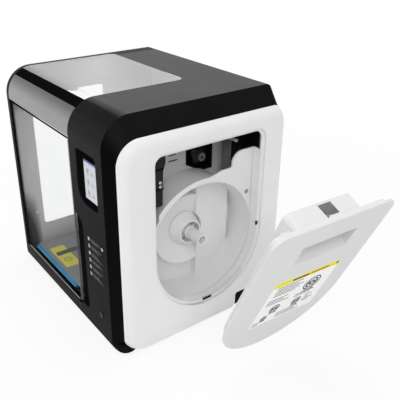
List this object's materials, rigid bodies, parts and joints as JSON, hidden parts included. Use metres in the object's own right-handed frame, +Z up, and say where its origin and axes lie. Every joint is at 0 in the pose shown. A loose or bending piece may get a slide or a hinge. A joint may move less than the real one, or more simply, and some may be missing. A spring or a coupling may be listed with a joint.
{
  "type": "fdm printer",
  "caption": "Enclosed desktop filament printer with a glazed black hoop, a bulged white spool side, a door, a moving bed and gantry, and its spool cover lifted off.",
  "frame": {"origin": "middle of the box round the printer and its lifted-off cover, on the table", "axes": "+X to the spool side, -Y to the door, +Z up"},
  "size_m": [0.6585, 0.3298, 0.405],
  "materials": {
    "hoop_black": "fine satin texture, near black",
    "ring_black": "smooth satin black",
    "panel_white": "semi gloss white",
    "cover_grey": "pale satin grey",
    "tray_grey": "pale satin grey",
    "liner_grey": "mid grey moulded sheet",
    "wall_grey": "mid grey moulded wall",
    "floor_grey": "grey powder coat",
    "beam_grey": "satin grey",
    "clear": "clear moulded pane",
    "gloss_black": "gloss black",
    "screen": "lit display",
    "rubber": "black rubber",
    "dark_plastic": "moulded dark plastic",
    "motor": "dark painted motor case",
    "steel": "ground steel",
    "brass": "turned brass",
    "aluminium": "plain aluminium",
    "board_green": "circuit board",
    "plate_grey": "grained plate surface",
    "blue": "blue grip",
    "belt": "black belt"
  },
  "bodies": {
    "chassis": {"outer_hoop": "hoop_black", "side_ring": "ring_black", "right_panel": "panel_white", "left_panel": "panel_white", "left_liner": "liner_grey", "left_window": "clear", "top_window": "clear", "front_beam": "beam_grey", "top_bar": "gloss_black", "finger_recess": "dark_plastic", "screen_bezel": "gloss_black", "touch_screen": "screen", "rear_panel": "panel_white", "chamber_floor": "floor_grey", "feet": "rubber", "partition_wall": "wall_grey", "spool_tray": "tray_grey", "feed_wall": "wall_grey", "hatch_bracket": "dark_plastic", "spool_axle": "tray_grey", "feeder_housing": "dark_plastic", "feeder_motor": "motor", "power_supply": "aluminium", "main_board": "board_green", "power_inlet": "dark_plastic", "y_rods": "steel", "y_rod_brackets": "dark_plastic", "y_motor": "motor", "y_belt": "belt", "z_rods": "steel", "z_top_brackets": "dark_plastic", "z_motor": "motor", "panel_screws": "steel"},
    "front_door": {"front_door": "clear"},
    "cover": {"filament_cover": "cover_grey"},
    "spool_hub": {"spool_hub": "tray_grey"},
    "lead_screw": {"lead_screw": "steel"},
    "gantry": {"gantry_right": "dark_plastic", "gantry_left": "dark_plastic", "x_rods": "steel", "x_motor": "motor", "x_belt": "belt"},
    "x_pulley": {"x_pulley": "aluminium"},
    "x_idler": {"x_idler": "aluminium"},
    "print_head": {"head_carriage": "dark_plastic", "heat_sink": "aluminium", "nozzle": "brass", "fan_shroud": "dark_plastic"},
    "head_fan": {"head_fan": "dark_plastic"},
    "bed": {"bed_carriage": "aluminium", "heated_bed": "aluminium", "build_plate": "plate_grey", "plate_grip": "blue"},
    "y_pulley": {"y_pulley": "aluminium"},
    "y_idler": {"y_idler": "aluminium"},
    "drive_gear": {"drive_gear": "brass"},
    "idler_lever": {"idler_lever": "cover_grey"},
    "idler_roller": {"idler_roller": "steel"},
    "power_rocker": {"power_rocker": "dark_plastic"},
    "front_button": {"front_button": "dark_plastic"}
  },
  "joints": [
    {"name": "door_hinge", "type": "hinge", "parent": "chassis", "child": "front_door", "pos_m": [-0.31299, -0.1625, 0.191], "axis": [0, 0, -1], "range_deg": [0, 100]},
    {"name": "cover_swing", "type": "hinge", "parent": "chassis", "child": "cover", "pos_m": [0.14021, 0.014, -0.2694], "axis": [-0.0189, 0.9966, -0.0797], "range_deg": [-23.7, 0]},
    {"name": "hub_spin", "type": "hinge", "parent": "chassis", "child": "spool_hub", "pos_m": [0.01721, 0.014, 0.156], "axis": [1, 0, 0], "continuous": true},
    {"name": "gantry_lift", "type": "slide", "parent": "chassis", "child": "gantry", "axis": [0, 0, 1], "range_m": [0, 0.15]},
    {"name": "screw_turn", "type": "hinge", "parent": "chassis", "child": "lead_screw", "pos_m": [-0.07319, 0.075, 0.1], "axis": [0, 0, 1], "continuous": true},
    {"name": "head_slide", "type": "slide", "parent": "gantry", "child": "print_head", "axis": [1, 0, 0], "range_m": [-0.075, 0.075]},
    {"name": "x_pulley_turn", "type": "hinge", "parent": "gantry", "child": "x_pulley", "pos_m": [-0.06719, 0.04, 0.104], "axis": [0, 0, 1], "continuous": true},
    {"name": "x_idler_turn", "type": "hinge", "parent": "gantry", "child": "x_idler", "pos_m": [-0.31019, 0.04, 0.104], "axis": [0, 0, 1], "continuous": true},
    {"name": "fan_spin", "type": "hinge", "parent": "print_head", "child": "head_fan", "pos_m": [-0.19119, -0.006, 0.086], "axis": [0, 1, 0], "continuous": true},
    {"name": "bed_slide", "type": "slide", "parent": "chassis", "child": "bed", "axis": [0, 1, 0], "range_m": [0, 0.15]},
    {"name": "y_pulley_turn", "type": "hinge", "parent": "chassis", "child": "y_pulley", "pos_m": [-0.10919, 0.1195, 0.022], "axis": [1, 0, 0], "continuous": true},
    {"name": "y_idler_turn", "type": "hinge", "parent": "chassis", "child": "y_idler", "pos_m": [-0.10919, -0.1325, 0.022], "axis": [1, 0, 0], "continuous": true},
    {"name": "feed_turn", "type": "hinge", "parent": "chassis", "child": "drive_gear", "pos_m": [-0.01719, 0.064, 0.275], "axis": [1, 0, 0], "continuous": true},
    {"name": "idler_swing", "type": "hinge", "parent": "chassis", "child": "idler_lever", "pos_m": [-0.01719, 0.04225, 0.29], "axis": [1, 0, 0], "range_deg": [-10, 0], "stiffness_Nm_per_rad": 0.5, "springref_deg": 5.73},
    {"name": "roller_turn", "type": "hinge", "parent": "idler_lever", "child": "idler_roller", "pos_m": [-0.01919, 0.04825, 0.275], "axis": [1, 0, 0], "continuous": true},
    {"name": "rocker_tilt", "type": "hinge", "parent": "chassis", "child": "power_rocker", "pos_m": [-0.01419, 0.1555, 0.084], "axis": [1, 0, 0], "range_deg": [0, 16]},
    {"name": "button_press", "type": "slide", "parent": "chassis", "child": "front_button", "axis": [0, 1, 0], "range_m": [0, 0.0012], "stiffness_N_per_m": 600}
  ],
  "couplings": [
    {"joint": "screw_turn", "follows": "gantry_lift", "rad_per_m": 785.4},
    {"joint": "x_pulley_turn", "follows": "head_slide", "rad_per_m": 166.67},
    {"joint": "x_idler_turn", "follows": "head_slide", "rad_per_m": 166.67},
    {"joint": "y_pulley_turn", "follows": "bed_slide", "rad_per_m": -166.67},
    {"joint": "y_idler_turn", "follows": "bed_slide", "rad_per_m": -166.67},
    {"joint": "roller_turn", "follows": "feed_turn", "ratio": -1.3333}
  ]
}
